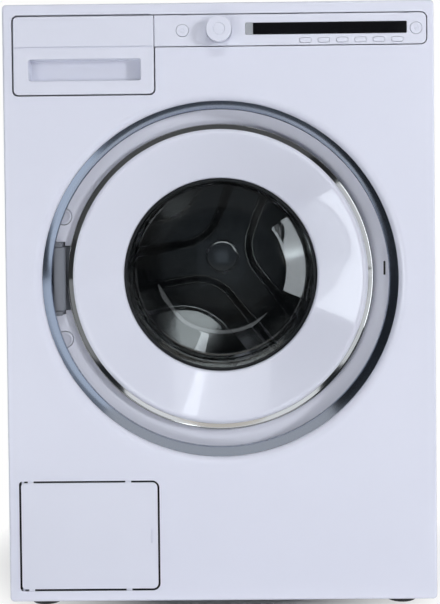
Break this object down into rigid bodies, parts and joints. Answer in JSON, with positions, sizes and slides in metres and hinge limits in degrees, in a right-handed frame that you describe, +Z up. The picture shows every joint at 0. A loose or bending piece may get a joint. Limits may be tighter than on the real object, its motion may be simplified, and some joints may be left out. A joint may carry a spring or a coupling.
{
  "type": "front-loading washing machine",
  "caption": "White front-loading washing machine with a round glass door in a chrome ring, detergent drawer, slim control fascia with knob and display, and a filter flap at the lower left.",
  "frame": {"origin": "on the floor, midway across the width and the overall depth (cabinet and knob)", "axes": "+X to the right seen from the front, +Y to the back, +Z up"},
  "size_m": [0.595, 0.585, 0.85],
  "materials": {
    "white_paint": "smooth semi-gloss enamel",
    "white_plastic": "satin gloss",
    "gloss_white": "high gloss",
    "trim_grey": "mirror-like grey gloss",
    "chrome": "polished",
    "stainless": "polished stainless steel",
    "zinc_steel": "zinc-plated",
    "dark_plastic": "matte",
    "grey_plastic": "matte",
    "door_glass": "clear",
    "display_lens": "black gloss",
    "seal_rubber": "matte",
    "concrete": "rough",
    "cast_aluminium": "as cast"
  },
  "bodies": {
    "cabinet": {"front_panel": "white_paint", "recess_ring": "trim_grey", "door_surround": "white_plastic", "hinge_bracket": "cast_aluminium", "cabinet_body": "white_paint", "rear_cover": "white_paint", "top_cover": "white_plastic", "base_pan": "zinc_steel", "control_fascia": "white_plastic", "display_lens": "display_lens", "dispenser_housing": "grey_plastic", "door_lock": "dark_plastic", "drain_pump": "dark_plastic", "inlet_valve": "dark_plastic", "damper_cylinder_1": "dark_plastic", "damper_cylinder_2": "dark_plastic", "damper_cylinder_3": "dark_plastic", "damper_cylinder_4": "dark_plastic"},
    "tub": {"tub_shell": "grey_plastic", "tub_seal": "seal_rubber", "front_weight": "concrete", "rear_bearing": "zinc_steel", "motor": "cast_aluminium", "drive_belt": "seal_rubber", "damper_rod_1": "zinc_steel", "damper_rod_2": "zinc_steel", "damper_rod_3": "zinc_steel", "damper_rod_4": "zinc_steel"},
    "drum": {"drum_shell": "stainless", "drum_back": "stainless", "lifter_1": "white_plastic", "lifter_2": "white_plastic", "lifter_3": "white_plastic", "hub_cap": "chrome", "drum_shaft": "zinc_steel", "drum_pulley": "cast_aluminium"},
    "motor_rotor": {"motor_pulley": "zinc_steel"},
    "door": {"door_frame": "gloss_white", "chrome_ring": "chrome", "door_glass": "door_glass", "door_inner_frame": "dark_plastic", "door_hook": "zinc_steel", "hinge_arm": "cast_aluminium"},
    "drawer": {"drawer_front": "white_plastic", "drawer_tray": "white_plastic"},
    "knob": {"program_knob": "white_plastic"},
    "power": {"power_button": "white_plastic"},
    "start": {"start_button": "white_plastic"},
    "flap": {"service_flap": "white_plastic"},
    "filter": {"filter_cap": "white_plastic"},
    "option_1": {"option_button_1": "white_plastic"},
    "option_2": {"option_button_2": "white_plastic"},
    "option_3": {"option_button_3": "white_plastic"},
    "option_4": {"option_button_4": "white_plastic"},
    "option_5": {"option_button_5": "white_plastic"},
    "option_6": {"option_button_6": "white_plastic"},
    "leveller_1": {"foot_1": "dark_plastic"},
    "leveller_2": {"foot_2": "dark_plastic"},
    "leveller_3": {"foot_3": "dark_plastic"},
    "leveller_4": {"foot_4": "dark_plastic"}
  },
  "joints": [
    {"name": "door_swing", "type": "hinge", "parent": "cabinet", "child": "door", "pos_m": [-0.229, -0.2395, 0.46754], "axis": [0, 0, -1], "range_deg": [0, 115]},
    {"name": "drawer_slide", "type": "slide", "parent": "cabinet", "child": "drawer", "axis": [0, -1, 0], "range_m": [0, 0.23]},
    {"name": "knob_turn", "type": "hinge", "parent": "cabinet", "child": "knob", "pos_m": [0.0017, -0.2725, 0.8115], "axis": [0, -1, 0], "continuous": true},
    {"name": "power_press", "type": "slide", "parent": "cabinet", "child": "power", "axis": [0, 1, 0], "range_m": [0, 0.0015], "stiffness_N_per_m": 600, "springref_m": -0.001},
    {"name": "start_press", "type": "slide", "parent": "cabinet", "child": "start", "axis": [0, 1, 0], "range_m": [0, 0.0015], "stiffness_N_per_m": 600, "springref_m": -0.001},
    {"name": "option_press_1", "type": "slide", "parent": "cabinet", "child": "option_1", "axis": [0, 1, 0], "range_m": [0, 0.0015], "stiffness_N_per_m": 600, "springref_m": -0.001},
    {"name": "option_press_2", "type": "slide", "parent": "cabinet", "child": "option_2", "axis": [0, 1, 0], "range_m": [0, 0.0015], "stiffness_N_per_m": 600, "springref_m": -0.001},
    {"name": "option_press_3", "type": "slide", "parent": "cabinet", "child": "option_3", "axis": [0, 1, 0], "range_m": [0, 0.0015], "stiffness_N_per_m": 600, "springref_m": -0.001},
    {"name": "option_press_4", "type": "slide", "parent": "cabinet", "child": "option_4", "axis": [0, 1, 0], "range_m": [0, 0.0015], "stiffness_N_per_m": 600, "springref_m": -0.001},
    {"name": "option_press_5", "type": "slide", "parent": "cabinet", "child": "option_5", "axis": [0, 1, 0], "range_m": [0, 0.0015], "stiffness_N_per_m": 600, "springref_m": -0.001},
    {"name": "option_press_6", "type": "slide", "parent": "cabinet", "child": "option_6", "axis": [0, 1, 0], "range_m": [0, 0.0015], "stiffness_N_per_m": 600, "springref_m": -0.001},
    {"name": "flap_swing", "type": "hinge", "parent": "cabinet", "child": "flap", "pos_m": [-0.278, -0.2675, 0.112], "axis": [0, 0, -1], "range_deg": [0, 80]},
    {"name": "filter_turn", "type": "hinge", "parent": "cabinet", "child": "filter", "pos_m": [-0.1857, -0.2725, 0.112], "axis": [0, -1, 0], "range_deg": [0, 90]},
    {"name": "suspension", "type": "slide", "parent": "cabinet", "child": "tub", "axis": [0, 0, 1], "range_m": [-0.01, 0.008], "stiffness_N_per_m": 20000},
    {"name": "drum_spin", "type": "hinge", "parent": "tub", "child": "drum", "pos_m": [0, -0.2725, 0.46754], "axis": [0, -1, 0], "continuous": true},
    {"name": "motor_spin", "type": "hinge", "parent": "tub", "child": "motor_rotor", "pos_m": [0, -0.2725, 0.14174], "axis": [0, -1, 0], "continuous": true},
    {"name": "foot_level_1", "type": "slide", "parent": "cabinet", "child": "leveller_1", "axis": [0, 0, -1], "range_m": [0, 0.012]},
    {"name": "foot_level_2", "type": "slide", "parent": "cabinet", "child": "leveller_2", "axis": [0, 0, -1], "range_m": [0, 0.012]},
    {"name": "foot_level_3", "type": "slide", "parent": "cabinet", "child": "leveller_3", "axis": [0, 0, -1], "range_m": [0, 0.012]},
    {"name": "foot_level_4", "type": "slide", "parent": "cabinet", "child": "leveller_4", "axis": [0, 0, -1], "range_m": [0, 0.012]}
  ],
  "couplings": [
    {"joint": "motor_spin", "follows": "drum_spin", "ratio": 12.727}
  ]
}
